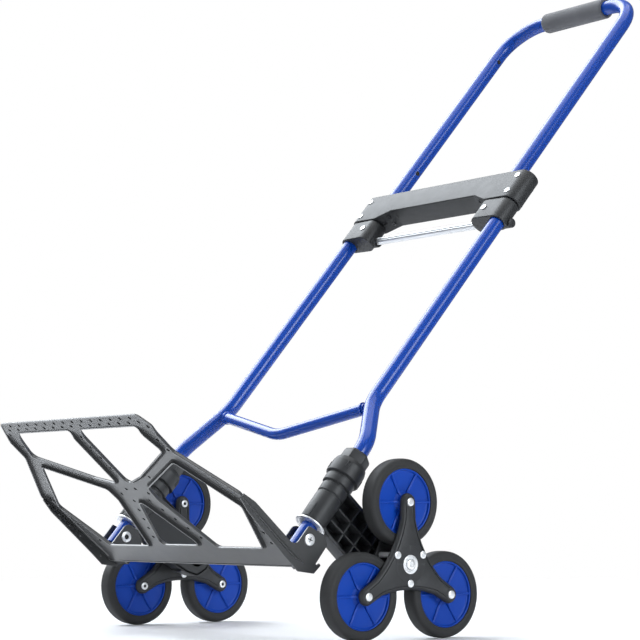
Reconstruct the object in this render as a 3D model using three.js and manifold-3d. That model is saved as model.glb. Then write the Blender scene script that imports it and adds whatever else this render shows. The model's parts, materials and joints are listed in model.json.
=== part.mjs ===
// Stair climbing trolley: a folding hand truck that rolls on two three-wheel stars.
// Millimetres, +Z up. The trolley leans back with two wheels of each star on the ground;
// the load plate points to -Y and the handle rises towards +Y.
import * as THREE from 'three';
import { mergeVertices } from 'three/addons/utils/BufferGeometryUtils.js';
import Module from 'manifold-3d';

const wasm = await Module();
wasm.setup();

// Driving dimensions
const LEAN = 41;            // lean of the frame from the vertical, degrees
const GAP = 0.3;            // clearance between touching pieces
const TUBE_R = 11;          // frame and handle tube radius
const WALL = 1.6;           // tube wall
const RAIL_X = 167;         // upper frame rails, from the middle plane
const LEG_X = 215;          // lower legs that carry the wheel brackets
const LEG_END = -76;        // lower end of the legs along the frame
const RAIL_TOP = 617;       // upper end of the rails, inside the bridge
const HANDLE_X = 138;       // sliding handle tubes
const HANDLE_END = 536;     // lower end of the handle tubes when pulled out
const GRIP_Z = 1037.5;      // grip height along the frame when pulled out
const STAR_BACK = 118;      // star axle behind the leg axis
const STAR_X = 259;         // middle plane of a star
const ARM = 80;             // star axle to wheel axle
const STAR_NEAR = 13.4;     // star plates, from the middle plane of the star
const STAR_FAR = 20.4;
const WHEEL_R = 56.5;
const TYRE_W = 24;
const RIM_R = 43.2;
const HINGE_Z = -60;        // load plate hinge axis along the frame
const PLATE_TOP = -86;      // load face of the plate
const PLATE_LOW = -95;      // lower edge of its flanges
const SHEET = 2.4;

const DEG = Math.PI / 180;

// ---- solids -------------------------------------------------------------------------

function solid(geometry) {
  let g = geometry.index ? geometry.toNonIndexed() : geometry.clone();
  g.deleteAttribute('normal');
  g.deleteAttribute('uv');
  g = mergeVertices(g, 1e-4);
  const triangles = [];
  for (let i = 0; i < g.index.count; i += 3) {
    const t = [g.index.getX(i), g.index.getX(i + 1), g.index.getX(i + 2)];
    if (t[0] !== t[1] && t[1] !== t[2] && t[2] !== t[0]) triangles.push(...t);
  }
  return new wasm.Manifold(new wasm.Mesh({
    numProp: 3,
    vertProperties: new Float32Array(g.attributes.position.array),
    triVerts: new Uint32Array(triangles),
  }));
}

function union(...parts) {
  return parts.slice(1).reduce((sum, part) => sum.add(part), parts[0]);
}

function cut(body, ...tools) {
  return tools.reduce((rest, tool) => rest.subtract(tool), body);
}

function toGeometry(body) {
  const mesh = body.getMesh();
  const g = new THREE.BufferGeometry();
  g.setAttribute('position', new THREE.BufferAttribute(new Float32Array(mesh.vertProperties), 3));
  g.setIndex(new THREE.BufferAttribute(new Uint32Array(mesh.triVerts), 1));
  g.computeVertexNormals();
  return g;
}

// ---- outlines -----------------------------------------------------------------------

// Closed outline through the corners, each rounded with the radius.
function outline(corners, radius, Kind = THREE.Shape) {
  const shape = new Kind();
  const n = corners.length;
  for (let i = 0; i < n; i++) {
    const p = new THREE.Vector2(...corners[i]);
    const before = new THREE.Vector2(...corners[(i + n - 1) % n]).sub(p);
    const after = new THREE.Vector2(...corners[(i + 1) % n]).sub(p);
    const half = Math.acos(before.clone().normalize().dot(after.clone().normalize())) / 2;
    const room = 0.48 * Math.min(before.length(), after.length());
    const reach = Math.min(radius / Math.tan(half), room);
    const start = p.clone().addScaledVector(before.normalize(), reach);
    const end = p.clone().addScaledVector(after.normalize(), reach);
    if (i === 0) shape.moveTo(start.x, start.y);
    else shape.lineTo(start.x, start.y);
    shape.quadraticCurveTo(p.x, p.y, end.x, end.y);
  }
  shape.closePath();
  return shape;
}

// Moves every edge of a counter-clockwise outline outwards by d (inwards when negative).
function offset(corners, d) {
  const n = corners.length;
  const edges = corners.map((c, i) => {
    const a = new THREE.Vector2(...c);
    const b = new THREE.Vector2(...corners[(i + 1) % n]);
    const along = b.clone().sub(a).normalize();
    const out = new THREE.Vector2(along.y, -along.x);
    return { point: a.addScaledVector(out, d), along };
  });
  return edges.map((edge, i) => {
    const last = edges[(i + n - 1) % n];
    const cross = last.along.cross(edge.along);
    const t = edge.point.clone().sub(last.point).cross(edge.along) / cross;
    const corner = last.point.clone().addScaledVector(last.along, t);
    return [corner.x, corner.y];
  });
}

const mirrorX = (corners) => corners.map(([x, y]) => [-x, y]).reverse();

// Extrusions of a shape: XY outline along Z, YZ outline along X, XZ outline along Y.
function alongZ(shape, low, high, curveSegments = 3) {
  const depth = high - low;
  const g = new THREE.ExtrudeGeometry(shape, { depth, bevelEnabled: false, curveSegments });
  return g.translate(0, 0, low);
}

function alongX(shape, low, high, curveSegments = 3) {
  const turn = new THREE.Matrix4().makeBasis(
    new THREE.Vector3(0, 1, 0), new THREE.Vector3(0, 0, 1), new THREE.Vector3(1, 0, 0));
  return alongZ(shape, low, high, curveSegments).applyMatrix4(turn);
}

function alongY(shape, low, high, curveSegments = 3) {
  const turn = new THREE.Matrix4().makeBasis(
    new THREE.Vector3(1, 0, 0), new THREE.Vector3(0, 0, 1), new THREE.Vector3(0, -1, 0));
  return alongZ(shape, -high, -low, curveSegments).applyMatrix4(turn);
}

function box(x0, x1, y0, y1, z0, z1) {
  const g = new THREE.BoxGeometry(Math.abs(x1 - x0), y1 - y0, z1 - z0);
  return g.translate((x0 + x1) / 2, (y0 + y1) / 2, (z0 + z1) / 2);
}

// Cylinder from low to high along an axis, through the point (a, b) of the other two axes.
function rod(axis, radius, low, high, a = 0, b = 0, sides = 16) {
  const g = new THREE.CylinderGeometry(radius, radius, high - low, sides);
  const mid = (low + high) / 2;
  if (axis === 'x') return g.rotateZ(-Math.PI / 2).translate(mid, a, b);
  if (axis === 'y') return g.translate(a, mid, b);
  return g.rotateX(Math.PI / 2).translate(a, b, mid);
}

// Turned piece from a closed [radius, height] profile, about X or Z.
function turned(axis, profile, sides) {
  const points = [...profile, profile[0]].map(([r, h]) => new THREE.Vector2(r, h));
  const g = new THREE.LatheGeometry(points, sides);
  return axis === 'x' ? g.rotateZ(-Math.PI / 2) : g.rotateX(Math.PI / 2);
}

// ---- tubes --------------------------------------------------------------------------

// A path given by its stations, so an extrusion steps exactly from one to the next.
class StationPath extends THREE.Curve {
  constructor(stations) {
    super();
    this.stations = stations;
  }

  at(i) {
    return this.stations[Math.min(Math.max(i, 0), this.stations.length - 1)];
  }

  getPoint(t, target = new THREE.Vector3()) {
    return target.copy(this.at(Math.round(t * (this.stations.length - 1))));
  }

  getPointAt(u, target) {
    return this.getPoint(u, target);
  }

  getTangentAt(u, target = new THREE.Vector3()) {
    const i = Math.round(u * (this.stations.length - 1));
    const before = this.at(i).clone().sub(this.at(i - 1)).normalize();
    const after = this.at(i + 1).clone().sub(this.at(i)).normalize();
    return target.copy(before).add(after).normalize();
  }
}

// Straight runs between the corners, joined by circular bends of the given radius.
function bentPath(corners, radius, step = 16) {
  const points = corners.map((c) => new THREE.Vector3(...c));
  const stations = [points[0]];
  for (let i = 1; i < points.length - 1; i++) {
    const toward = points[i - 1].clone().sub(points[i]).normalize();
    const away = points[i + 1].clone().sub(points[i]).normalize();
    const turn = Math.PI - toward.angleTo(away);
    const reach = radius * Math.tan(turn / 2);
    const start = points[i].clone().addScaledVector(toward, reach);
    const inward = toward.clone().add(away).normalize();
    const centre = points[i].clone().addScaledVector(inward, radius / Math.cos(turn / 2));
    const axis = toward.clone().negate().cross(away).normalize();
    const count = Math.max(2, Math.round(turn / (step * DEG)));
    for (let k = 0; k <= count; k++) {
      const arm = start.clone().sub(centre).applyAxisAngle(axis, (turn * k) / count);
      stations.push(centre.clone().add(arm));
    }
  }
  stations.push(points[points.length - 1]);
  return new StationPath(stations);
}

function pipe(path, radius, sides) {
  const ring = new THREE.Shape();
  for (let i = 0; i < sides; i++) {
    const a = (2 * Math.PI * i) / sides;
    const p = [radius * Math.cos(a), radius * Math.sin(a)];
    if (i === 0) ring.moveTo(...p);
    else ring.lineTo(...p);
  }
  const steps = path.stations.length - 1;
  const options = { steps, extrudePath: path, bevelEnabled: false };
  return solid(new THREE.ExtrudeGeometry(ring, options));
}

// ---- scene graph --------------------------------------------------------------------

const finishes = {
  blueSteel: { color: 0x0b3fb8, roughness: 0.25, metalness: 0.3 },
  bluePlastic: { color: 0x0a37b4, roughness: 0.45, metalness: 0 },
  blackPlastic: { color: 0x2b2d30, roughness: 0.5, metalness: 0 },
  blackSteel: { color: 0x33363a, roughness: 0.45, metalness: 0.3 },
  rubber: { color: 0x2f3032, roughness: 0.8, metalness: 0 },
  foam: { color: 0x26282b, roughness: 0.9, metalness: 0 },
  zinc: { color: 0xc9ccd0, roughness: 0.3, metalness: 0.9 },
  aluminium: { color: 0xd4d7da, roughness: 0.25, metalness: 0.95 },
};

function piece(parent, name, finish, body) {
  const mesh = new THREE.Mesh(toGeometry(body), new THREE.MeshStandardMaterial(finishes[finish]));
  mesh.name = name;
  parent.add(mesh);
  return mesh;
}

const trolley = new THREE.Group();

// The frame group: x across, y backwards from the leg plane, z up along the frame.
// The star axles lie at y = STAR_BACK, z = 0.
const frame = new THREE.Group();
frame.rotation.x = -LEAN * DEG;
const axleHeight = ARM / 2 + WHEEL_R;
frame.position.set(0, -STAR_BACK * Math.cos(LEAN * DEG), axleHeight + STAR_BACK * Math.sin(LEAN * DEG));
trolley.add(frame);

// A headed pin along X or Y: head, shank, head.
function pin(axis, ends, shank, head, headDepth, a, b) {
  const [low, high] = ends;
  const profile = [
    [0, low - headDepth], [head, low - headDepth], [head, low], [shank, low],
    [shank, high], [head, high], [head, high + headDepth], [0, high + headDepth],
  ];
  const g = new THREE.LatheGeometry(profile.map(([r, h]) => new THREE.Vector2(r, h)), 8);
  if (axis === 'x') return solid(g.rotateZ(-Math.PI / 2).translate(0, a, b));
  return solid(g.translate(a, 0, b));
}

const rivetHeights = [582, 614];
const sliderRivetZ = 552;

// Welded frame: two bent tubes and a V-shaped brace.
{
  const legPath = (side, over) => bentPath([
    [side * LEG_X, 0, LEG_END - over], [side * LEG_X, 0, 106],
    [side * RAIL_X, 0, 181], [side * RAIL_X, 0, RAIL_TOP + over],
  ], 60);
  const braceEnd = RAIL_X - 2;
  const bracePath = bentPath([[-braceEnd, 0, 171], [0, 0, 128], [braceEnd, 0, 171]], 70);
  const shells = [pipe(bracePath, 8, 10)];
  const bores = [pipe(bracePath, 8 - WALL, 10)];
  const holes = [];
  for (const side of [-1, 1]) {
    shells.push(pipe(legPath(side, 0), TUBE_R, 14));
    bores.push(pipe(legPath(side, 5), TUBE_R - WALL, 14));
    holes.push(solid(rod('x', 5.3, side * LEG_X - 20, side * LEG_X + 20, 0, HINGE_Z, 10)));
    for (const z of rivetHeights) {
      holes.push(solid(rod('y', 2.8, -20, 20, side * RAIL_X, z, 8)));
    }
  }
  piece(frame, 'frame_tubes', 'blueSteel', cut(union(...shells), ...bores, ...holes));
}

// Bridge across the top of the rails; the handle tubes run through it.
{
  const profile = [
    [-184, 570], [-127, 570], [-96, 583], [96, 583], [127, 570], [184, 570], [184, 626], [-184, 626],
  ];
  const plan = [[-184, -16.6], [184, -16.6], [184, 16.6], [-184, 16.6]];
  const block = solid(alongY(outline(profile, 4), -17, 17));
  let bridge = block.intersect(solid(alongZ(outline(plan, 17), 560, 640, 6)));
  const slot = solid(box(-17, 17, -3.2, 13.2, 600, 640));
  const hollow = solid(box(-112, 112, -13, 13.4, 587, 622));
  bridge = cut(bridge, hollow, slot);
  for (const side of [-1, 1]) {
    bridge = cut(
      bridge,
      solid(rod('z', TUBE_R + GAP, 560, RAIL_TOP + GAP, side * RAIL_X, 0, 16)),
      solid(rod('z', TUBE_R + 0.7, 560, 640, side * HANDLE_X, 0, 16)),
      ...rivetHeights.map((z) => solid(rod('y', 2.8, -20, 20, side * RAIL_X, z, 8))),
    );
  }
  piece(frame, 'top_bridge', 'blackPlastic', bridge);
  const sides = [['left', -1], ['right', 1]];
  for (const [label, side] of sides) {
    rivetHeights.forEach((z, i) => {
      const body = pin('y', [-16.6 - GAP, 16.6 + GAP], 2.5, 4.6, 1.2, side * RAIL_X, z);
      piece(frame, `bridge_rivet_${label}_${i + 1}`, 'zinc', body);
    });
  }
  const button = solid(alongZ(outline([[-16.5, -2.7], [16.5, -2.7], [16.5, 12.7], [-16.5, 12.7]], 4),
    602, 636));
  piece(frame, 'release_button', 'bluePlastic', button);
}

// Sliding handle: U tube, foam grip, two sliders on the rails and a cross bar between them.
{
  const corners = (over) => [
    [-HANDLE_X, 0, HANDLE_END - over], [-HANDLE_X, 0, GRIP_Z],
    [HANDLE_X, 0, GRIP_Z], [HANDLE_X, 0, HANDLE_END - over],
  ];
  const holes = [-1, 1].map((side) =>
    solid(rod('y', 2.8, -20, 20, side * HANDLE_X, sliderRivetZ, 8)));
  const tube = cut(
    pipe(bentPath(corners(0), 63, 18), TUBE_R, 14),
    pipe(bentPath(corners(5), 63, 18), TUBE_R - WALL, 14),
    ...holes,
  );
  piece(frame, 'handle_tube', 'blueSteel', tube);
  const grip = turned('x', [
    [TUBE_R + GAP, -66], [14.5, -66], [16, -64], [16, 64], [14.5, 66], [TUBE_R + GAP, 66],
  ], 16).translate(0, 0, GRIP_Z);
  piece(frame, 'grip', 'foam', solid(grip));
  for (const [label, side] of [['left', -1], ['right', 1]]) {
    const plan = [[118, -16], [181.5, -14.5], [181.5, 14.5], [118, 16]];
    const turnedPlan = side < 0 ? mirrorX(plan) : plan;
    const [barIn, barOut] = [side * 119, side * 132].sort((p, q) => p - q);
    const [tabIn, tabOut] = [side * 160, side * 184].sort((p, q) => p - q);
    let slider = union(
      solid(alongZ(outline(turnedPlan, 15), 531, 569, 5)),
      solid(rod('x', 9.5, barIn, barOut, 9, 545, 14)),
      solid(rod('x', 7, tabIn, tabOut, 12, 541, 12)),
    );
    slider = cut(
      slider,
      solid(rod('z', TUBE_R + 0.7, 520, 580, side * RAIL_X, 0, 16)),
      solid(rod('z', TUBE_R + GAP, HANDLE_END - GAP, 580, side * HANDLE_X, 0, 16)),
      solid(rod('y', 2.8, -20, 20, side * HANDLE_X, sliderRivetZ, 8)),
      solid(rod('x', 6 + GAP, Math.min(side * 110, side * 126), Math.max(side * 110, side * 126),
        9, 545, 12)),
    );
    piece(frame, `slider_${label}`, 'blackPlastic', slider);
    const rivet = pin('y', [-16 - GAP, 16 + GAP], 2.5, 4.6, 1.2, side * HANDLE_X, sliderRivetZ);
    piece(frame, `slider_rivet_${label}`, 'zinc', rivet);
  }
  piece(frame, 'cross_bar', 'aluminium', solid(rod('x', 6, -125.7, 125.7, 9, 545, 12)));
}

// Load plate: a pressed sheet with flanges down round its outline and its five windows,
// and a pair of ears on each side that straddle the legs.
{
  const half = [[0, -269.3], [170, -269.3], [182, -248], [182, -203.5], [241, -124], [234, 20]];
  const rim = [...half.slice(1), ...mirrorX(half.slice(1))];
  const front = [[13, -248], [13, -147], [57, -160], [160, -205], [146, -248]];
  const sideWindow = [[48, -115], [50, -136], [162, -183], [220, -100], [182, -20], [82, -20]];
  const windows = [front, sideWindow].flatMap((w) => {
    const ccw = THREE.ShapeUtils.isClockWise(w.map((c) => new THREE.Vector2(...c)))
      ? [...w].reverse() : w;
    return [ccw, mirrorX(ccw)];
  });
  windows.push([[-47, -23], [47, -23], [0, -116]].reverse());
  const sheetOf = (inset, low, high, radius) => {
    const shape = outline(offset(rim, -inset), radius - inset);
    shape.holes = windows.map((w) => outline(offset(w, inset), 6 + inset, THREE.Path));
    return solid(alongZ(shape, low, high, 2));
  };
  const ear = [[30 - 3, PLATE_TOP - 1], [27, -48], [13, -41.5], [-5, -41.5], [-11, -48], [-11, PLATE_TOP - 1]];
  let plate = cut(
    sheetOf(0, PLATE_LOW, PLATE_TOP, 12),
    sheetOf(SHEET, PLATE_LOW - 1, PLATE_TOP - SHEET, 12),
  );
  for (const side of [-1, 1]) {
    for (const [near, far] of [[-18.5, -15.5], [15.5, 18.5]]) {
      const x0 = side * LEG_X + near;
      const x1 = side * LEG_X + far;
      plate = plate.add(solid(alongX(outline(ear, 5), x0, x1)));
    }
    const hole = rod('x', 5.3, side * LEG_X - 25, side * LEG_X + 25, 0, HINGE_Z, 10);
    plate = plate.subtract(solid(hole));
  }
  piece(frame, 'toe_plate', 'blackSteel', plate);
  for (const [label, side] of [['left', -1], ['right', 1]]) {
    const reach = 18.5 + GAP;
    const ends = [side * LEG_X - reach, side * LEG_X + reach];
    piece(frame, `hinge_bolt_${label}`, 'zinc', pin('x', ends, 5, 7.8, 2, 0, HINGE_Z));
    const heel = box(side * LEG_X - 15.2, side * LEG_X + 15.2, 18, 31, PLATE_TOP + GAP, -72);
    piece(frame, `heel_${label}`, 'blackPlastic', solid(heel));
  }
}

// Wheel brackets: a sleeve that turns on the leg, and a ribbed plate back to the star axle.
for (const [label, side] of [['left', -1], ['right', 1]]) {
  const bracket = new THREE.Group();
  bracket.position.x = side * LEG_X;
  frame.add(bracket);
  const facing = (a, b) => [Math.min(side * a, side * b), Math.max(side * a, side * b)];

  const bore = TUBE_R + 0.7;
  const sleeve = solid(turned('z', [
    [bore, -35], [18, -35], [18.5, 27], [20.5, 28], [20.5, 40], [23.5, 41],
    [23.5, 62], [21.5, 66.4], [bore, 66.4],
  ], 20));
  const rimCorners = [
    [6, -32], [24, -35], [74, -37], [118, -28], [136, -20], [143, 0], [136, 18], [118, 28], [6, 30],
  ];
  const [ribLow, ribHigh] = facing(-8, 13.4);
  const lattice = [
    ...[40.5, 63.6, 86.7].map((y) => solid(box(ribLow, ribHigh, y - 1.1, y + 1.1, -60, 60))),
    ...[-15.6, 3.4].map((z) => solid(box(ribLow, ribHigh, 0, 150, z - 1.1, z + 1.1))),
  ];
  const slab = solid(alongX(outline(rimCorners, 8), ...facing(-11, 14)));
  const pocket = solid(alongX(outline(offset(rimCorners, -4), 5), ...facing(-7, 15)));
  const boss = solid(rod('x', 13, ...facing(-11, 23), STAR_BACK, 0, 16));
  const keep = solid(box(-20, 20, -20, 21.5, -60, 60));
  const floor = cut(pocket, ...lattice, keep, boss);
  let carrier = union(cut(slab, floor), sleeve, boss);
  carrier = cut(
    carrier,
    solid(rod('z', bore, -60, 80, 0, 0, 20)),
    solid(rod('x', 5 + GAP, -30, 30, STAR_BACK, 0, 12)),
  );
  piece(bracket, `wheel_bracket_${label}`, 'blackPlastic', carrier);

  const hex = solid(turned('z', [[0, 66.8], [21, 66.8], [21, 83], [19, 86], [0, 86]], 6));
  const collar = cut(hex, solid(rod('z', TUBE_R + GAP, 60, 90, 0, 0, 16)));
  piece(bracket, `lock_collar_${label}`, 'blackPlastic', collar);
  const washer = solid(turned('z', [
    [TUBE_R + GAP, -37.6], [21, -37.6], [21, -35.4], [TUBE_R + GAP, -35.4],
  ], 20));
  piece(bracket, `leg_washer_${label}`, 'zinc', washer);

  const bolt = [
    [0, -18], [9, -18], [9, -11 - GAP], [5, -11 - GAP], [5, 64.8], [7, 64.8], [7, 67], [0, 67],
  ].map(([r, h]) => new THREE.Vector2(r, side * h));
  if (side < 0) bolt.reverse();
  const boltShape = new THREE.LatheGeometry(bolt, 12).rotateZ(-Math.PI / 2);
  boltShape.translate(0, STAR_BACK, 0);
  piece(bracket, `star_bolt_${label}`, 'zinc', solid(boltShape));
}

// Wheel stars: two three-armed plates, a bearing, three rivets and three wheels.
function starOutline() {
  const shape = new THREE.Shape();
  const tip = 11.5;
  for (let k = 0; k < 3; k++) {
    const a = (90 + 120 * k) * DEG;
    const along = new THREE.Vector2(Math.cos(a), Math.sin(a));
    const left = new THREE.Vector2(-along.y, along.x);
    const at = (r, w) => along.clone().multiplyScalar(r).addScaledVector(left, w);
    const start = at(58, -tip);
    if (k === 0) shape.moveTo(start.x, start.y);
    const centre = at(ARM, 0);
    shape.lineTo(at(ARM, -tip).x, at(ARM, -tip).y);
    shape.absarc(centre.x, centre.y, tip, a - Math.PI / 2, a + Math.PI / 2, false);
    shape.lineTo(at(58, tip).x, at(58, tip).y);
    const b = a + 60 * DEG;
    const c = a + 120 * DEG;
    const next = new THREE.Vector2(58 * Math.cos(c) + tip * Math.sin(c), 58 * Math.sin(c) - tip * Math.cos(c));
    shape.quadraticCurveTo(26 * Math.cos(b), 26 * Math.sin(b), next.x, next.y);
  }
  return shape;
}

function chamferedStar() {
  const turn = new THREE.Matrix4().makeBasis(
    new THREE.Vector3(0, 1, 0), new THREE.Vector3(0, 0, 1), new THREE.Vector3(1, 0, 0));
  const chamfer = 3.4;
  const g = new THREE.ExtrudeGeometry(starOutline(), {
    depth: 2 * (STAR_FAR - chamfer),
    bevelThickness: chamfer,
    bevelSize: chamfer,
    bevelOffset: -chamfer,
    bevelSegments: 1,
    curveSegments: 4,
  });
  return g.translate(0, 0, chamfer - STAR_FAR).applyMatrix4(turn);
}

const onArms = (radius, phase) => [0, 1, 2].map((k) => {
  const a = (90 + phase + 120 * k) * DEG;
  return [radius * Math.cos(a), radius * Math.sin(a)];
});

for (const [label, side] of [['left', -1], ['right', 1]]) {
  const star = new THREE.Group();
  star.position.set(side * STAR_X, 0, axleHeight);
  trolley.add(star);
  const facing = (a, b) => [Math.min(side * a, side * b), Math.max(side * a, side * b)];
  const wheels = onArms(ARM, 0);
  const rivets = onArms(24.4, 60);

  const holes = [
    solid(rod('x', 12 + GAP, -30, 30, 0, 0, 12)),
    ...wheels.map(([y, z]) => solid(rod('x', 4 + GAP, -30, 30, y, z, 8))),
    ...rivets.map(([y, z]) => solid(rod('x', 4 + GAP, -30, 30, y, z, 8))),
  ];
  // The arms are chamfered towards the outside of the star.
  const plate = (a, b) => {
    const [low, high] = facing(a, b);
    return cut(solid(chamferedStar()), solid(box(low, high, -120, 120, -120, 120)), ...holes);
  };
  piece(star, `star_plate_outer_${label}`, 'blackPlastic', plate(-30, STAR_NEAR));
  piece(star, `star_plate_inner_${label}`, 'blackPlastic', plate(-STAR_NEAR, 30));
  const bearing = turned('x', [[5.3, -20.4], [12, -20.4], [12, 20.5], [5.3, 20.5]], 12);
  if (side < 0) bearing.translate(-0.1, 0, 0);
  piece(star, `star_bearing_${label}`, 'zinc', solid(bearing));
  const ends = [-STAR_FAR - GAP, STAR_FAR + GAP];
  rivets.forEach(([y, z], i) => {
    piece(star, `star_rivet_${label}_${i + 1}`, 'zinc', pin('x', ends, 4, 5.5, 1.8, y, z));
  });
  wheels.forEach(([y, z], i) => {
    const wheel = new THREE.Group();
    wheel.position.set(0, y, z);
    star.add(wheel);
    const inner = RIM_R + GAP;
    const tyre = turned('x', [
      [inner, -11.5], [53.5, -TYRE_W / 2], [WHEEL_R, -8], [WHEEL_R, 8], [53.5, TYRE_W / 2], [inner, 11.5],
    ], 32);
    piece(wheel, `tyre_${label}_${i + 1}`, 'rubber', solid(tyre));
    const rim = turned('x', [
      [4.4, -13], [10, -13], [10, -3], [39, -3], [39, -10.5], [RIM_R, -10.5],
      [RIM_R, 10.5], [39, 10.5], [39, 3], [10, 3], [10, 13], [4.4, 13],
    ], 18);
    piece(wheel, `rim_${label}_${i + 1}`, 'bluePlastic', solid(rim));
    piece(wheel, `wheel_bolt_${label}_${i + 1}`, 'zinc', pin('x', ends, 4, 6, 2.2, 0, 0));
  });
}

// The origin sits on the ground under the middle of the trolley.
trolley.updateMatrixWorld(true);
const extent = new THREE.Box3().setFromObject(trolley, true);
trolley.position.y = -(extent.min.y + extent.max.y) / 2;
trolley.position.z = -extent.min.z;

export default trolley;
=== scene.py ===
import json
import math

import bmesh
import bpy
import numpy as np
from mathutils import Matrix, Vector
from mathutils.geometry import delaunay_2d_cdt


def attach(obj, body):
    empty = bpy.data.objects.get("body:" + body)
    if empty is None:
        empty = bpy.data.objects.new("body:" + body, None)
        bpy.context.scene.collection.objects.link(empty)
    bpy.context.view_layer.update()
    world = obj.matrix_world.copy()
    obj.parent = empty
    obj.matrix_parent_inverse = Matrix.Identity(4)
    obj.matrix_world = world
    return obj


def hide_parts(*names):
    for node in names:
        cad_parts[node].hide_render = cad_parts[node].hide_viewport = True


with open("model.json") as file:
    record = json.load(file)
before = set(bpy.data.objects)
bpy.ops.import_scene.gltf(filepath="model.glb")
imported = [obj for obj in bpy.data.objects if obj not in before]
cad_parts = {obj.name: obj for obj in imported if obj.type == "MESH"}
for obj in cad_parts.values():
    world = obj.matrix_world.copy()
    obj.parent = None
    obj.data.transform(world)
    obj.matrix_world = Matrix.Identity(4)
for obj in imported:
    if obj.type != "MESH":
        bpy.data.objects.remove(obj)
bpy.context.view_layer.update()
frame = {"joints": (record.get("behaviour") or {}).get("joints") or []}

# ---- places -------------------------------------------------------------------------
# Shapes are written in millimetres: frame pieces across (x), backwards (y) and up the
# leaning frame (z) from the leg plane; star pieces from the middle of their star.
JOINT = {j["name"]: j for j in frame["joints"]}
UP = Vector(JOINT["handle_slide"]["axis"]).normalized()
BACK = Vector((0, UP.z, -UP.y))
LEG = Vector(JOINT["wheel_fold_right"]["pos_m"])
MM = Matrix.Scale(0.001, 4)
LEANING = Matrix(((1, 0, 0, 0), (0, BACK.y, UP.y, LEG.y), (0, BACK.z, UP.z, LEG.z), (0, 0, 0, 1)))
ON_FRAME = LEANING @ MM
TO_X = Matrix(((0, 0, 1, 0), (0, 1, 0, 0), (-1, 0, 0, 0), (0, 0, 0, 1)))   # z -> x
TO_Y = Matrix(((1, 0, 0, 0), (0, 0, 1, 0), (0, -1, 0, 0), (0, 0, 0, 1)))   # z -> y
PLAN_YZ = Matrix(((0, 0, 1, 0), (1, 0, 0, 0), (0, 1, 0, 0), (0, 0, 0, 1)))  # (x,y,z)->(y,z,x)

TUBE_R, WALL = 11.0, 1.6
BORE_R = 11.7       # holes in the mouldings that a tube runs through
RAIL_X, LEG_X, HANDLE_X = 167.0, 215.0, 138.0
HANDLE_END, GRIP_Z = 536.0, 1037.5
HINGE_Z = -60.0
STAR_BACK, ARM = 118.0, 80.0
PLATE_TOP, PLATE_LOW, SHEET = -86.0, -95.0, 2.4
SIDES = (("left", -1), ("right", 1))
CLOSE = 1e-3        # points nearer than this are one point
ON_AXIS = 1e-6      # a radius below this is a point on the axis
FLAT_FROM = 1.3     # a face goes flat this many edge radii inside its outline


def at(x=0, y=0, z=0):
    return Matrix.Translation((x, y, z))


def towards(s):
    """Turns z to +x or to -x, by the sign."""
    return TO_X if s > 0 else TO_X.inverted()


# ---- mesh code ----------------------------------------------------------------------
class Shell:
    """Collects closed shells, then becomes one object."""

    def __init__(self):
        self.verts, self.faces, self.tones = [], [], []

    def add(self, part, m=None, tone=0):
        """tone picks one of the finishes given to make, for the part or for each of its faces."""
        verts, faces = part
        k = len(self.verts)
        self.verts += [m @ Vector(p) if m is not None else Vector(p) for p in verts]
        self.faces += [tuple(i + k for i in f) for f in faces]
        self.tones += tone if isinstance(tone, list) else [tone] * len(faces)
        return self

    def make(self, name, finish, body, place, replaces=(), slot=None, sharp=35):
        """finish is one material or a tuple of them. Edges of more than sharp degrees stay hard."""
        mesh = bpy.data.meshes.new(name)
        mesh.from_pydata([place @ v for v in self.verts], [], self.faces)
        mesh.polygons.foreach_set("material_index", self.tones)
        bm = bmesh.new()
        bm.from_mesh(mesh)
        bmesh.ops.delete(bm, geom=[v for v in bm.verts if not v.link_faces], context="VERTS")
        bmesh.ops.recalc_face_normals(bm, faces=bm.faces)
        bm.to_mesh(mesh)
        bm.free()
        mesh.polygons.foreach_set("use_smooth", [True] * len(mesh.polygons))
        mesh.set_sharp_from_angle(angle=math.radians(sharp))
        for tone in finish if isinstance(finish, tuple) else (finish,):
            mesh.materials.append(tone)
        obj = bpy.data.objects.new(name, mesh)
        bpy.context.scene.collection.objects.link(obj)
        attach(obj, body)
        if replaces:
            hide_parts(*replaces)
        return obj


def loft(loops, ring=False):
    """Quads between loops of equal length. Ends are capped, or joined when ring is set."""
    n = len(loops[0])
    verts = [p for loop in loops for p in loop]
    faces = []
    pairs = list(zip(range(len(loops) - 1), range(1, len(loops))))
    if ring:
        pairs.append((len(loops) - 1, 0))
    for a, b in pairs:
        for i in range(n):
            j = (i + 1) % n
            faces.append((a * n + i, a * n + j, b * n + j, b * n + i))
    if not ring:
        faces.append(tuple(range(n - 1, -1, -1)))
        faces.append(tuple((len(loops) - 1) * n + i for i in range(n)))
    return verts, faces


def soften(points, radius, closed=False, n=3):
    """Rounds the corners of a polyline, in n steps each. radius is one number or one per point."""
    count = len(points)
    radii = radius if isinstance(radius, (list, tuple)) else [radius] * count
    out = []
    for i, (p, r) in enumerate(zip(points, radii)):
        p = Vector(p)
        if r <= 0 or (not closed and i in (0, count - 1)):
            out.append(p)
            continue
        a, b = Vector(points[i - 1]) - p, Vector(points[(i + 1) % count]) - p
        cos = max(-1, min(1, a.normalized().dot(b.normalized())))
        half = math.acos(cos) / 2
        if half > math.radians(89):
            out.append(p)
            continue
        reach = min(r / math.tan(half), 0.48 * a.length, 0.48 * b.length)
        r = reach * math.tan(half)
        a.normalize()
        b.normalize()
        centre = p + (a + b).normalized() * (r / math.sin(half))
        s, e = p + a * reach - centre, p + b * reach - centre
        turn = math.pi - 2 * half
        for k in range(n + 1):
            t = turn * k / n
            out.append(centre + (s * math.sin(turn - t) + e * math.sin(t)) / math.sin(turn))
    return out


def circle(r, n):
    return [(r * math.cos(2 * math.pi * i / n),
             r * math.sin(2 * math.pi * i / n)) for i in range(n)]


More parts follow.
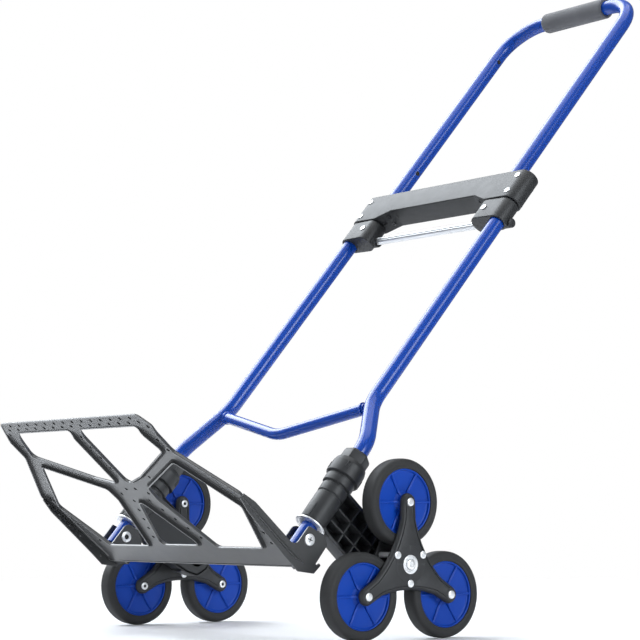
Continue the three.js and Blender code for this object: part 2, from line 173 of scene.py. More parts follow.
def revolve(profile, n=48, ring=False):
    """(radius, height) points turned about z. An open profile starts and ends on the axis."""
    loops = [[Vector((x, y, h)) for x, y in circle(r, n)] for r, h in profile if r >= ON_AXIS]
    verts, faces = loft(loops, ring)
    if not ring:
        faces = faces[:-2]
        first, last = len(verts), len(verts) + 1
        verts += [Vector((0, 0, profile[0][1])), Vector((0, 0, profile[-1][1]))]
        top = (len(loops) - 1) * n
        for i in range(n):
            j = (i + 1) % n
            faces.append((first, j, i))
            faces.append((last, top + i, top + j))
    return verts, faces


def sweep(path, section, side=Vector((0, 1, 0))):
    """Carries section loops [(u, v)...] along a flat path. side is the path plane's normal."""
    loops = []
    for i, p in enumerate(path):
        a = path[max(i - 1, 0)]
        b = path[min(i + 1, len(path) - 1)]
        if i in (0, len(path) - 1):
            t = (b - a).normalized()
        else:
            t = ((p - a).normalized() + (b - p).normalized()).normalized()
        u = side.cross(t).normalized()
        loops.append([p + u * q[0] + side * q[1] for q in section])
    return loops


def pipe(corners, radius, bend_radius, wall, n, steps):
    """A bent round tube, hollow when it has a wall, with softly rounded rims."""
    path = soften([Vector(c) for c in corners], bend_radius, n=steps)
    soft = 0.5
    first = (path[1] - path[0]).normalized()
    last = (path[-1] - path[-2]).normalized()
    ends = [path[0], path[0] + first * soft, *path[1:-1], path[-1] - last * soft, path[-1]]
    outer = sweep(ends, circle(radius, n))
    rim = sweep(ends, circle(radius - soft, n))
    outer[0], outer[-1] = rim[0], rim[-1]
    if not wall:
        return loft(outer)
    inner = sweep(ends, circle(radius - wall, n))
    return loft(outer + inner[::-1], ring=True)


def area(c):
    """Above zero when the contour runs counter-clockwise."""
    return sum(a[0] * b[1] - b[0] * a[1] for a, b in zip(c, c[1:] + c[:1])) / 2


MITRE = 0.3         # keeps an inset corner from running far out


def inset(contour, d):
    """Moves a dense closed contour to its left by d: inwards when it runs counter-clockwise."""
    out = []
    n = len(contour)
    for i in range(n):
        p = Vector(contour[i])
        a = (p - Vector(contour[i - 1])).normalized()
        b = (Vector(contour[(i + 1) % n]) - p).normalized()
        na, nb = Vector((-a.y, a.x)), Vector((-b.y, b.x))
        out.append(p + (na + nb) * (d / max(MITRE, 1 + na.dot(nb))))
    return out


def turned(contour, ccw):
    """The contour, running counter-clockwise or clockwise as asked."""
    return contour if (area(contour) > 0) == ccw else contour[::-1]


def fill(contours, cuts=()):
    """Triangles of the first contour's inside, less the others, as (points, faces). Each cut is a
    line (a, b) that the triangles follow."""
    points, edges = [], []
    for c in contours:
        k = len(points)
        points += [Vector(p) for p in c]
        edges += [(k + i, k + (i + 1) % len(c)) for i in range(len(c))]
    for a, b in cuts:
        k = len(points)
        points += [Vector(a), Vector(b)]
        edges.append((k, k + 1))
    pts, _, faces, _, _, _ = delaunay_2d_cdt(points, edges, [], 0, 1e-5)
    P = np.array([p[:2] for p in pts])
    F = np.array(faces)
    mid = P[F].mean(1)
    inside = np.zeros(len(F), bool)
    for c in contours:
        C = np.array([p[:2] for p in c])
        D = np.roll(C, -1, 0)
        cross = (C[:, 1] > mid[:, 1:2]) != (D[:, 1] > mid[:, 1:2])
        with np.errstate(divide="ignore", invalid="ignore"):
            x = (D[:, 0] - C[:, 0]) * (mid[:, 1:2] - C[:, 1]) / (D[:, 1] - C[:, 1]) + C[:, 0]
        inside ^= (np.sum(cross & (mid[:, 0:1] < x), 1) % 2).astype(bool)
    return pts, [tuple(int(i) for i in f) for f in F[inside]]


def height_at(z, x):
    return z(x) if callable(z) else z


def plate(outer, holes, low, high, soft=0.5, steps=3, pockets=(), cuts=(), hole_soft=None, lip=()):
    """A flat body with rounded edges. low is a height or a function of x, high is a height.
    pockets are (contour, depth) recesses in the high face. cuts are lines (a, b) that the flat
    faces follow. lip lists (inset, drop) steps that replace the rounding of the outline's high
    edge."""
    hole_soft = soft if hole_soft is None else hole_soft
    rings = [(turned(outer, True), soft)] + [(turned(h, False), hole_soft) for h in holes]
    angles = [math.pi / 2 * k / steps for k in range(steps + 1)]
    verts, faces, tops, bottoms = [], [], [], []

    def put(points, z):
        k = len(verts)
        verts.extend(Vector((p[0], p[1], height_at(z, p[0]))) for p in points)
        return list(range(k, k + len(points)))

    def bands(stack):
        for a, b in zip(stack, stack[1:]):
            for i in range(len(a)):
                j = (i + 1) % len(a)
                faces.append((a[i], a[j], b[j], b[i]))

    def cap(loops, z):
        flat, tris = fill([[verts[i][:2] for i in loop] for loop in loops], cuts)
        known = [i for loop in loops for i in loop]
        ids = []
        for n, p in enumerate(flat):
            spot = Vector(p[:2])
            # the points mostly come back in their own order
            same = next((i for group in (known[n:n + 1], known) for i in group
                         if (verts[i].to_2d() - spot).length < CLOSE), None)
            if same is None:
                same = len(verts)
                verts.append(Vector((*spot, height_at(z, spot.x))))
            ids.append(same)
        faces.extend(tuple(ids[i] for i in t) for t in tris)

    for k, (ring, e) in enumerate(rings):
        stack = [put(inset(ring, e * FLAT_FROM), low)]
        for t in angles:
            rise = e * (1 - math.cos(t))
            stack.append(put(inset(ring, e * (1 - math.sin(t))),
                             lambda x: height_at(low, x) + rise))
        if lip and k == 0:
            stack += [put(inset(ring, d), high - drop) for d, drop in lip]
        else:
            for t in angles[::-1]:
                stack.append(put(inset(ring, e * (1 - math.sin(t))), high - e * (1 - math.cos(t))))
            stack.append(put(inset(ring, e * FLAT_FROM), high))
        bands(stack)
        bottoms.append(stack[0])
        tops.append(stack[-1])
    for contour, depth in pockets:
        well, e = turned(contour, False), hole_soft
        stack = [put(inset(well, e), high)]
        for t in angles:
            stack.append(put(inset(well, e * (1 - math.sin(t))), high - e * (1 - math.cos(t))))
        stack.append(put(well, high - depth))
        bands(stack)
        tops.append(stack[0])
        cap([stack[-1]], high - depth)
    cap(tops, high)
    cap(bottoms, low)
    return verts, faces


def round_hole(r, x=0, y=0, n=32):
    return [Vector((x + u, y + v)) for u, v in circle(r, n)]


def spokes(r, first):
    """Three points round the middle of a star, the first at this angle in degrees."""
    angles = [math.radians(first + 120 * k) for k in range(3)]
    return [Vector((r * math.cos(a), r * math.sin(a))) for a in angles]


def rounded(points, radius, n=6):
    return [p.to_2d() for p in soften([Vector((*p, 0)) for p in points], radius, closed=True, n=n)]


def box(x0, x1, y0, y1):
    return [Vector((x0, y0)), Vector((x1, y0)), Vector((x1, y1)), Vector((x0, y1))]


def bar(x0, x1, y0, y1, z0, z1, soft, n=3):
    """A block with rounded edges."""
    return plate(rounded(box(x0, x1, y0, y1), soft * 1.5, n), (), z0, z1, soft * 0.8)


def mirror(points):
    return [(-x, y) for x, y in points][::-1]


def bolt_head(radius, depth, socket=0.0):
    """A low domed head standing on z=0, with a round socket when one is asked for."""
    r, d, s = radius, depth, radius * socket
    profile = [(0, -0.2), (r * 0.98, -0.2), (r, d * 0.4), (r * 0.97, d * 0.7), (r * 0.86, d * 0.92)]
    if socket:
        profile += [(max(s * 1.25, r * 0.6), d), (s * 1.08, d * 0.98), (s, d * 0.8), (s, d * 0.25),
                    (0, d * 0.2)]
    else:
        profile += [(r * 0.5, d * 0.97), (0, d)]
    return revolve(profile, 32)


# ---- materials ----------------------------------------------------------------------
GRAIN_DEPTH = 0.0001        # metres


def finish(name, color, color2, rough, rough2, grain, bump, metal=0.0, coat=0.0, coat_rough=0.05,
           patch=6.0, stretch=(1, 1, 1), detail=3.0, sheen=0.0, spec=0.5, edge_highlight=None, fine=None):
    """A procedural finish: patchy colour, patchy roughness and a fine bump, all from noise. patch
    and grain are the noises' scales. fine tints the grain, and the edge tint is a painted highlight
    on outer edges."""
    mat = bpy.data.materials.new(name)
    mat.use_nodes = True
    nt = mat.node_tree
    nt.nodes.clear()
    N, L = nt.nodes.new, nt.links.new
    out, bsdf = N("ShaderNodeOutputMaterial"), N("ShaderNodeBsdfPrincipled")
    L(bsdf.outputs[0], out.inputs[0])
    bsdf.inputs["Metallic"].default_value = metal
    bsdf.inputs["Coat Weight"].default_value = coat
    bsdf.inputs["Coat Roughness"].default_value = coat_rough
    bsdf.inputs["Specular IOR Level"].default_value = spec
    bsdf.inputs["Sheen Weight"].default_value = sheen
    coords, mapping = N("ShaderNodeTexCoord"), N("ShaderNodeMapping")
    mapping.inputs["Scale"].default_value = stretch
    L(coords.outputs["Object"], mapping.inputs[0])

    def noise(scale, depth):
        t = N("ShaderNodeTexNoise")
        t.inputs["Scale"].default_value = scale
        t.inputs["Detail"].default_value = depth
        t.inputs["Roughness"].default_value = 0.55
        L(mapping.outputs[0], t.inputs["Vector"])
        return t

    def blend(base, source, low, high, most, tint):
        """Mixes a tint into the base as the source goes from low to high, up to a share."""
        share, mix = N("ShaderNodeMapRange"), N("ShaderNodeMix")
        share.inputs["From Min"].default_value, share.inputs["From Max"].default_value = low, high
        share.inputs["To Max"].default_value = most
        mix.data_type = "RGBA"
        mix.inputs["B"].default_value = (*tint, 1)
        L(source, share.inputs[0])
        L(share.outputs[0], mix.inputs["Factor"])
        L(base, mix.inputs["A"])
        return mix.outputs["Result"]

    big, small = noise(patch, 4), noise(grain, detail)
    ramp = N("ShaderNodeValToRGB")
    first, last = ramp.color_ramp.elements
    first.position, last.position = 0.3, 0.7
    first.color, last.color = (*color, 1), (*color2, 1)
    L(big.outputs["Fac"], ramp.inputs[0])
    base = ramp.outputs[0]
    if fine:
        base = blend(base, small.outputs["Fac"], 0.5, 0.85, 0.35, fine)
    # painted highlight: sharp outer edges are tinted lighter
    if edge_highlight:
        base = blend(base, N("ShaderNodeNewGeometry").outputs["Pointiness"], 0.53, 0.62, 0.5, edge_highlight)
    L(base, bsdf.inputs["Base Color"])
    spread = N("ShaderNodeMapRange")
    spread.inputs["To Min"].default_value, spread.inputs["To Max"].default_value = rough, rough2
    L(noise(patch * 5, 3).outputs["Fac"], spread.inputs[0])
    L(spread.outputs[0], bsdf.inputs["Roughness"])
    if bump:
        b = N("ShaderNodeBump")
        b.inputs["Strength"].default_value = bump
        b.inputs["Distance"].default_value = GRAIN_DEPTH
        L(small.outputs["Fac"], b.inputs["Height"])
        L(b.outputs[0], bsdf.inputs["Normal"])
    return mat


BLUE_STEEL = finish("blue_powder_coat", (0.0003, 0.044, 0.31), (0.0006, 0.051, 0.35), 0.36, 0.44,
                    160, 0, coat=0.6, coat_rough=0.16, patch=4, spec=0.15)
BLUE_PLASTIC = finish("blue_moulded_plastic", (0.0002, 0.041, 0.32), (0.0006, 0.048, 0.365), 0.38,
                      0.48, 900, 0.06, patch=14, spec=0.22)
BLACK_PLASTIC = finish("black_moulded_plastic", (0.012, 0.0125, 0.0135), (0.017, 0.018, 0.0195),
                       0.46, 0.54, 1100, 0.06, patch=16, spec=0.5, edge_highlight=(0.06, 0.062, 0.066))
BLACK_STEEL = finish("black_powder_coat", (0.02, 0.0205, 0.0208), (0.026, 0.0265, 0.027), 0.36,
                     0.44, 800, 0, patch=12, coat=0.4, coat_rough=0.26, spec=0.6,
                     edge_highlight=(0.2, 0.2, 0.2))
# painted shade: a near-black copy of the black powder coat for the insides of bends and dimples
BLACK_PAINTED_SHADE = finish("black_powder_coat_painted_shade", (0.004, 0.0042, 0.0045), (0.007, 0.0072, 0.0075),
                     0.4, 0.5, 800, 0, patch=12, spec=0.3)
# painted highlight: a lighter copy of the black powder coat for the bent lip
BLACK_PAINTED_HIGHLIGHT = finish("black_powder_coat_painted_highlight", (0.06, 0.061, 0.063), (0.08, 0.081, 0.083), 0.3, 0.4,
                   800, 0, patch=12, coat=0.5, coat_rough=0.2, spec=0.7)
RUBBER = finish("tyre_rubber", (0.017, 0.0172, 0.0178), (0.024, 0.024, 0.0245), 0.55, 0.72, 900,
                0.5, patch=20, spec=0.35, fine=(0.04, 0.039, 0.037))
FOAM = finish("grip_foam", (0.0975, 0.0988, 0.107), (0.124, 0.125, 0.134), 0.75, 0.88, 1300, 1.2,
              patch=30, detail=5, spec=0.3, sheen=0.3, fine=(0.14, 0.142, 0.15))
ZINC = finish("bright_zinc", (0.8, 0.81, 0.82), (0.88, 0.88, 0.88), 0.28, 0.4, 700, 0.1, metal=0.75,
              patch=50)
ALUMINIUM = finish("drawn_aluminium", (0.6, 0.61, 0.62), (0.68, 0.69, 0.7), 0.34, 0.42, 1400, 0,
                   metal=1.0, patch=30, stretch=(0.04, 1, 1))
# painted shade: a near-black finish for shapes that stand in for holes, socket floors and recesses
DARK_PAINTED_SHADE = finish("painted_shade_recess", (0.008, 0.008, 0.009), (0.012, 0.012, 0.013), 0.7, 0.85, 800,
                     0.6, patch=30)

# ---- frame tubes --------------------------------------------------------------------
LEG_END, LEG_TOP, RAIL_LOW, RAIL_END = -76, 106, 181, 617
BRACE_R, BRACE_END, BRACE_LOW = 8, 170, 128
BEAD = [(7.0, -2.4), (8.6, -1.6), (9.6, 0.2), (9.9, 2.2), (7.0, 2.8)]
tubes = Shell()
for _, s in SIDES:
    bent = [(s * LEG_X, 0, LEG_END), (s * LEG_X, 0, LEG_TOP), (s * RAIL_X, 0, RAIL_LOW),
            (s * RAIL_X, 0, RAIL_END)]
    tubes.add(pipe(bent, TUBE_R, 60, WALL, 48, 12))
    # weld bead where the brace meets the rail
    slope = Vector((s * RAIL_X, 0, BRACE_END + 1 - BRACE_LOW)).normalized()
    foot = Vector((s * RAIL_X, 0, BRACE_END + 1)) - slope * 10.4
    turn = slope.to_track_quat("Z", "Y").to_matrix().to_4x4()
    tubes.add(revolve(BEAD, 40, ring=True), Matrix.Translation(foot) @ turn)
brace = [(-RAIL_X + 4, 0, BRACE_END), (0, 0, BRACE_LOW), (RAIL_X - 4, 0, BRACE_END)]
tubes.add(pipe(brace, BRACE_R, 70, None, 36, 12))
tubes.make("frame_tubes_fine", BLUE_STEEL, "frame", ON_FRAME, ["frame_tubes"], "blue_steel", 40)

# ---- bridge -------------------------------------------------------------------------
# heights of the low face at the ends and in the middle, and of the top
BRIDGE_END, BRIDGE_MIDDLE, BRIDGE_TOP = 570, 583, 626
SLOPE_OUT, SLOPE_IN = 125, 96       # where the low face's slopes start and end
BREAKS = (-SLOPE_OUT, -SLOPE_IN, SLOPE_IN, SLOPE_OUT)


def bridge_low(x):
    share = min(max((SLOPE_OUT - abs(x)) / (SLOPE_OUT - SLOPE_IN), 0), 1)
    return BRIDGE_END + (BRIDGE_MIDDLE - BRIDGE_END) * share


def dense(points, step=6.0):
    """Adds points so that no edge is much longer than the step, and some where the slopes break."""
    out = []
    for a, b in zip(points, points[1:] + points[:1]):
        n = max(1, int((b - a).length / step))
        stops = {k / n for k in range(n)}
        if abs(b.x - a.x) > 1:
            stops |= {(x - a.x) / (b.x - a.x) for x in BREAKS if 0 < (x - a.x) / (b.x - a.x) < 1}
        out += [a.lerp(b, t) for t in sorted(stops)]
    return out


plan = rounded(box(-184, 184, -16.6, 16.6), 16.5, 14)
breaks = [(Vector((x, -14.4)), Vector((x, 14.4))) for x in BREAKS]
bores = [round_hole(BORE_R, s * HANDLE_X) for _, s in SIDES]
button_well = rounded(box(-17, 17, -3.2, 13.2), 4.2, 5)
bridge = Shell().add(plate(dense(plan), bores, bridge_low, BRIDGE_TOP, 1.6, 4,
                           [(button_well, 16)], breaks, 0.4))
bridge.make("top_bridge_fine", BLACK_PLASTIC, "frame", ON_FRAME, ["top_bridge"], "black_plastic")

# rims of the screw recesses under the slopes
details = Shell()
screw_rim = revolve([(2.0, -1.2), (3.4, -1.2), (3.4, 0.5), (2.0, 0.5)], 20, ring=True)
for _, s in SIDES:
    for x, y in ((104, -7), (104, 7), (116, 0)):
        details.add(screw_rim, at(s * x, y, bridge_low(x) - 0.1))
details.make("bridge_details", BLACK_PLASTIC, "frame", ON_FRAME, (), "black_plastic")

BUTTON_LOW, BUTTON_TOP = 602, 635.4
button = Shell()
button.add(plate(rounded(box(-16.5, 16.5, -2.7, 12.7), 4, 5), (), BUTTON_LOW, BUTTON_TOP, 1.2, 4))
for k in range(5):      # finger ridges
    button.add(bar(-11, 11, 0.2 + k * 2.3, 1.5 + k * 2.3, BUTTON_TOP - 0.9, BUTTON_TOP + 0.6, 0.3))
button.make("release_button_fine", BLUE_PLASTIC, "release_button", ON_FRAME, ["release_button"],
            "blue_plastic")

# ---- sliding handle -----------------------------------------------------------------
u_shape = [(-HANDLE_X, 0, HANDLE_END), (-HANDLE_X, 0, GRIP_Z), (HANDLE_X, 0, GRIP_Z),
           (HANDLE_X, 0, HANDLE_END)]
handle = Shell().add(pipe(u_shape, TUBE_R, 63, WALL, 48, 14))
handle.make("handle_tube_fine", BLUE_STEEL, "handle", ON_FRAME, ["handle_tube"], "blue_steel", 40)
# the latch holes are dark discs of painted shade on the tube
latch_hole = revolve([(0, -0.4), (3.0, -0.4), (3.6, 0.15), (2.8, 0.35), (0, 0.3)], 24)
holes = Shell()
for _, s in SIDES:
    for z in (690, 958):
        holes.add(latch_hole, at(s * HANDLE_X - s * TUBE_R, 0, z) @ towards(-s))
holes.make("latch_holes_painted_shade", DARK_PAINTED_SHADE, "handle", ON_FRAME, (), "black_plastic")
FOAM_PROFILE = [(11.3, -66), (15.2, -66), (16, -63.5), (16, 63.5), (15.2, 66), (11.3, 66)]
foam = soften(FOAM_PROFILE, 0.9, True)
grip = Shell().add(revolve(foam, 56, ring=True), at(0, 0, GRIP_Z) @ TO_X)
grip.make("grip_fine", FOAM, "handle", ON_FRAME, ["grip"], "grip_foam")

BAR_Y, BAR_Z, BAR_R, BAR_HALF = 9, 545, 6, 125
SLIDER_LOW, SLIDER_HIGH = 531, 569
lug = soften([(0, -7), (9.5, -7), (9.5, 7), (6.6, 7), (6.6, 6.4), (0, 6.4)],
             [0, 1.6, 1.4, 0.4, 0, 0])
tab = soften([(0, -12), (7, -12), (7, 11), (0, 11)], [0, 0.5, 2.4, 0])
for label, s in SIDES:
    body = Shell()
    corners = [(s * 118, -16), (s * 181.5, -14.6), (s * 181.5, 14.6), (s * 118, 16)]
    rail = round_hole(BORE_R, s * RAIL_X, n=36)
    body.add(plate(dense(rounded(corners, 14.4, 12)), [rail], SLIDER_LOW, SLIDER_HIGH, 1.3, 4,
                   hole_soft=0.4))
    body.add(revolve(lug, 40), at(s * (BAR_HALF + 0.6), BAR_Y, BAR_Z) @ towards(-s))
    body.add(revolve(tab, 36), at(s * 172.5, 12, BAR_Z - 4) @ towards(s))
    body.make(f"slider_{label}_fine", BLACK_PLASTIC, "handle", ON_FRAME, [f"slider_{label}"],
              "black_plastic")

# the cross bar is an extrusion with shallow lengthways flutes
FLUTES, FLUTE_DEPTH, BAR_N = 6, 0.55, 72
flutes = []
for i in range(BAR_N):
    a = 2 * math.pi * i / BAR_N
    r = BAR_R - FLUTE_DEPTH * max(0, math.cos(FLUTES * a)) ** 2
    flutes.append((r * math.cos(a), r * math.sin(a)))
rod = [Vector((x, BAR_Y, BAR_Z)) for x in (-BAR_HALF, 0.4 - BAR_HALF, BAR_HALF - 0.4, BAR_HALF)]
cross = Shell().add(loft(sweep(rod, flutes)))
cross.make("cross_bar_fine", ALUMINIUM, "handle", ON_FRAME, ["cross_bar"], "bar_aluminium", 50)


def headed(node, body, place, radius, depth, reach, shank, socket=0.0, cross=False):
    """A pin along z from -reach to reach, with a plain or crossed head at the high end and a
    plain or socketed one at the low end."""
    pin = Shell()
    pin.add(bolt_head(radius, depth), at(z=reach))
    # the cross is raised bars in painted shade, standing in for a recessed cross
    if cross:
        reach_out = radius * 0.45
        for turn in (0.3, 0.3 + math.pi / 2):
            blade = bar(-reach_out, reach_out, -0.6, 0.6, depth * 0.8, depth * 1.06, 0.12, 1)
            pin.add(blade, at(z=reach) @ Matrix.Rotation(turn, 4, "Z"), 1)
    tail = at(z=-reach) @ Matrix.Rotation(math.pi, 4, "X")
    pin.add(bolt_head(radius, depth, socket), tail)
    # the socket's floor is a disc of painted shade
    if socket:
        r, d = radius * socket * 1.02, depth
        pin.add(revolve([(0, d * 0.1), (r, d * 0.1), (r, d * 0.55), (0, d * 0.45)], 24), tail, 1)
    pin.add(revolve([(0, -reach), (shank, -reach), (shank, reach), (0, reach)], 20))
    pin.make(f"{node}_fine", (ZINC, DARK_PAINTED_SHADE), body, place, [node], "zinc")


for label, s in SIDES:
    for i, z in enumerate((582, 614)):
        place = ON_FRAME @ at(s * RAIL_X, 0, z) @ TO_Y.inverted()
        headed(f"bridge_rivet_{label}_{i + 1}", "frame", place, 4.8, 1.3, 16.6, 2.4)
    place = ON_FRAME @ at(s * HANDLE_X, 0, 552) @ TO_Y.inverted()
    headed(f"slider_rivet_{label}", "handle", place, 4.8, 1.2, 16.0, 2.4)

# ---- load plate ---------------------------------------------------------------------
half = [(170, -269.3), (182, -248), (182, -203.5), (241, -124), (234, 20)]
rim = rounded([*half, *mirror(half)], 12, 6)
front_window = [(13, -248), (13, -147), (57, -160), (160, -205), (146, -248)]
side_window = [(48, -115), (50, -136), (162, -183), (220, -100), (182, -20), (82, -20)]
WINDOW_CORNER = 7
shapes = (front_window, mirror(front_window), side_window, mirror(side_window))
windows = [rounded(w, WINDOW_CORNER, 5) for w in shapes]
windows.append(rounded([(-47, -23), (47, -23), (0, -116)], WINDOW_CORNER, 5))
windows = [turned(w, False) for w in windows]


def row(p, q, count):
    """Points evenly from p to q."""
    p, q = Vector(p), Vector(q)
    return [p.lerp(q, k / (count - 1)) for k in range(count)]


def inside(p, contour):
    hit = False
    for a, b in zip(contour, contour[1:] + contour[:1]):
        if (a.y > p.y) != (b.y > p.y) and p.x < (b.x - a.x) * (p.y - a.y) / (b.y - a.y) + a.x:
            hit = not hit
    return hit


DEEP_FROM, DEEP_TO, DEEP_FADE = -249, 10, 16


def depth_at(y):
    """The bent edge is deep (1) round the struts, shallow (0) along the free edge and the hinge."""
    k = min(max((y - DEEP_FROM) / DEEP_FADE, 0), max((DEEP_TO - y) / DEEP_FADE, 0), 1)
    return k * k * (3 - 2 * k)


def clear(p, gap):
    """Whether a point is on the sheet, at least the gap from every edge."""
    for c in [rim, *windows]:
        for a, b in zip(c, c[1:] + c[:1]):
            ab = b - a
            t = max(0, min(1, (p - a).dot(ab) / max(ab.length_squared, 1e-9)))
            if (a + ab * t - p).length < gap:
                return False
    return inside(p, rim) and not any(inside(p, w) for w in windows)


def points(*pairs):
    return [Vector(p) for p in pairs]


half_rows = row((11.5, -262.6), (149.5, -262.6), 7) + row((0, -254.9), (161, -254.9), 8)
half_rows += row((0, -235), (0, -173.5), 4)
half_rows += points((10, -153), (11, -132.5), (31.5, -144), (53, -146))
half_rows += row((70, -154.5), (147, -194), 5) + points((166, -222), (171.5, -246), (168, -203))
half_rows += row((184, -185.6), (227.6, -132.1), 4) + row((168.7, -176.6), (211.6, -122.3), 4)
half_rows += points((204.9, -26.2), (208.3, -46.7), (213, -66.7), (219.5, -86), (227.5, -106))
half_rows += row((19, -109), (57, -35), 5) + row((32.5, -123.5), (51.5, -86.5), 3)
EDGE_GAP, DEEP_EDGE_GAP, DIMPLE_APART = 6.1, 3.2, 7
dimples = []
for p in [q for h in half_rows for q in (h, Vector((-h.x, h.y)))]:
    gap = EDGE_GAP + DEEP_EDGE_GAP * depth_at(p.y)
    if clear(p, gap) and all((p - q).length > DIMPLE_APART for q in dimples):
        dimples.append(p)
PIT, PIT_HOLE, PIT_N = 2.6, 3.1, 12
sheet_holes = [round_hole(PIT_HOLE, p.x, p.y, PIT_N) for p in dimples]
toe = Shell()
LOW_FACE = PLATE_TOP - SHEET
contours = [dense(c, 5) for c in (rim, *windows)]

# Rows of (inset, extra inset where the edge is deep, height) down the outside of the bend, round
# its lip and back up the inside. Heights below the sheet shrink where the edge is shallow.
BEND = [(2.8, 3.4, PLATE_TOP), (2.4, 3.2, PLATE_TOP), (1.5, 3.0, PLATE_TOP - 0.35),
        (0.7, 2.6, PLATE_TOP - 1.3), (0, 0.5, PLATE_TOP - 5.0), (0, 0, PLATE_LOW + 0.7),
        (0.2, 0, PLATE_LOW + 0.2), (0.6, 0, PLATE_LOW), (1.4, 0, PLATE_LOW),
        (1.8, 0, PLATE_LOW + 0.2), (2.0, 0, PLATE_LOW + 0.7), (2.2, 0.8, LOW_FACE - 3.0),
        (2.4, 3.0, LOW_FACE - 0.3), (2.6, 3.2, LOW_FACE), (2.8, 3.4, LOW_FACE)]
SHALLOW, DEEPER = 0.1, 0.55         # shares of BEND's depth: everywhere, and more where it is deep
PLAIN, PAINTED_SHADE, PAINTED_HIGHLIGHT = 0, 1, 2        # tones: the sheet, painted shade inside the bends and dimples, a painted highlight on the lip
# the four rows round the lip get the painted highlight, the two rows inside the bend the painted
# shade
TONE_OF_ROW = [PLAIN] * 6 + [PAINTED_HIGHLIGHT] * 4 + [PAINTED_SHADE] * 2 + [PLAIN] * 2


def lip(contour):
    """The bent edge of one contour, and its faces' tones: a painted highlight on the lip and
    painted shade inside the bend.
    """
    steps = [q - p for p, q in zip(contour, inset(contour, 1))]
    loops = []
    for d, more, z in BEND:
        loop = []
        for p, step in zip(contour, steps):
            k = depth_at(p.y)
            q = p + step * (d + more * k)
            low = z if z >= LOW_FACE else LOW_FACE + (z - LOW_FACE) * (SHALLOW + DEEPER * k)
            loop.append(Vector((q.x, q.y, low)))
        loops.append(loop)
    verts, faces = loft(loops)
    faces = faces[:-2]      # without loft's end caps
    return (verts, faces), [TONE_OF_ROW[min(f) // len(contour)] for f in faces]


def flat_edge(contour):
    """Where the bend starts."""
    d, more, _ = BEND[0]
    return [p + (q - p) * (d + more * depth_at(p.y)) for p, q in zip(contour, inset(contour, 1))]


field = [flat_edge(c) for c in contours]
for z in (PLATE_TOP, LOW_FACE):
    pts, tris = fill([*field, *sheet_holes])
    toe.add(([Vector((p[0], p[1], z)) for p in pts], tris))
for c in contours:
    part, tones = lip(c)
    toe.add(part, tone=tones)
# a dimple is a cup seen from below and a bump seen from above, as (radius, height) loops
CUP = [(PIT_HOLE, LOW_FACE), (PIT, LOW_FACE), (PIT * 0.82, LOW_FACE + 0.9),
       (PIT * 0.5, PLATE_TOP - 0.7)]
BUMP = [(PIT * 0.45, PLATE_TOP + 0.8), (PIT * 0.8, PLATE_TOP + 0.5), (PIT, PLATE_TOP),
        (PIT_HOLE, PLATE_TOP)]
for p in dimples:
    loops = [[Vector((p.x + x, p.y + y, z)) for x, y in circle(r, PIT_N)] for r, z in CUP]
    verts, faces = loft(loops)
    faces = faces[:-2] + faces[-1:]     # without the cap across the mouth
    # the deeper faces of each cup get painted shade
    toe.add((verts, faces), tone=[PAINTED_SHADE if min(f) >= PIT_N else PLAIN for f in faces])
    loops = [[Vector((p.x + x, p.y + y, z)) for x, y in circle(r, PIT_N)] for r, z in BUMP]
    verts, faces = loft(loops)
    toe.add((verts, faces[:-1]))
root = PLATE_TOP - 1
inner_ear = rounded([(27, root), (27, -48), (13, -41), (-5, -41), (-11.5, -48), (-11.5, root)],
                    [0, 9, 9, 9, 9, 0])
# the outer ear runs forward into a side wall that stands above and below the sheet
WALL_OUTLINE = [(-119, -94.4), (-98, -98.5), (12.5, -101.5), (33.6, -87.6), (35.4, -73),
                (31.6, -72), (30.4, -76), (27.8, -77), (26.8, -46), (14.4, -39.6), (-11.8, -47),
                (-11.8, -76), (-20, -80.6), (-98, -82), (-119, -86.6)]
side_wall = rounded(WALL_OUTLINE, [1, 8, 1.5, 1.5, 1, 1, 1, 2, 5, 7, 2, 9, 9, 8, 1])
eye = round_hole(5.4, 0, HINGE_Z, 28)
WALL_INSIDE, WALL_OUTSIDE = LEG_X + 16.1, LEG_X + 18.5
EAR_INSIDE, EAR_OUTSIDE = LEG_X - 18.5, LEG_X - 15.9
SPREAD_FROM, SPREAD = -14, 0.0642       # the side walls spread in front of this, per millimetre
nub = revolve([(0, -0.6), (1.8, -0.6), (1.6, 0.3), (0.8, 0.9), (0, 1.0)], 14)
CREASE_PATH = ((229.5, -112), (228, -96), (222.5, 8))
CREASE = [(1.6, 0.3), (0.8, 1.1), (-0.8, 1.1), (-1.6, 0.3), (-1.6, -0.5), (1.6, -0.5)]


def spread(y):
    return SPREAD * max(0, SPREAD_FROM - y)


for _, s in SIDES:
    near, far = sorted((s * WALL_INSIDE, s * WALL_OUTSIDE))
    verts, faces = plate(dense(side_wall), [eye], near, far, 0.45)
    placed = [PLAN_YZ @ v for v in verts]
    toe.add(([Vector((v.x + s * spread(v.y), v.y, v.z)) for v in placed], faces))
    near, far = sorted((s * EAR_INSIDE, s * EAR_OUTSIDE))
    toe.add(plate(inner_ear, [eye], near, far, 0.45), PLAN_YZ)
    # pressed nubs along the inside of the side wall, and the crease beside it
    for k in range(6):
        y = -108 + 22 * k
        toe.add(nub, at(s * (WALL_INSIDE + spread(y)), y, -93.6) @ towards(-s))
    crease = [Vector((s * x, y, LOW_FACE - 0.2)) for x, y in CREASE_PATH]
    toe.add(loft(sweep(crease, CREASE, side=Vector((0, 0, -1)))))
toe_plate = toe.make("load_plate_fine", (BLACK_STEEL, BLACK_PAINTED_SHADE, BLACK_PAINTED_HIGHLIGHT), "load_plate",
                     ON_FRAME, ["toe_plate"], "black_steel", 38)
WELD = 0.00001      # metres
bm = bmesh.new()
bm.from_mesh(toe_plate.data)
bmesh.ops.remove_doubles(bm, verts=bm.verts, dist=WELD)
bmesh.ops.recalc_face_normals(bm, faces=bm.faces)
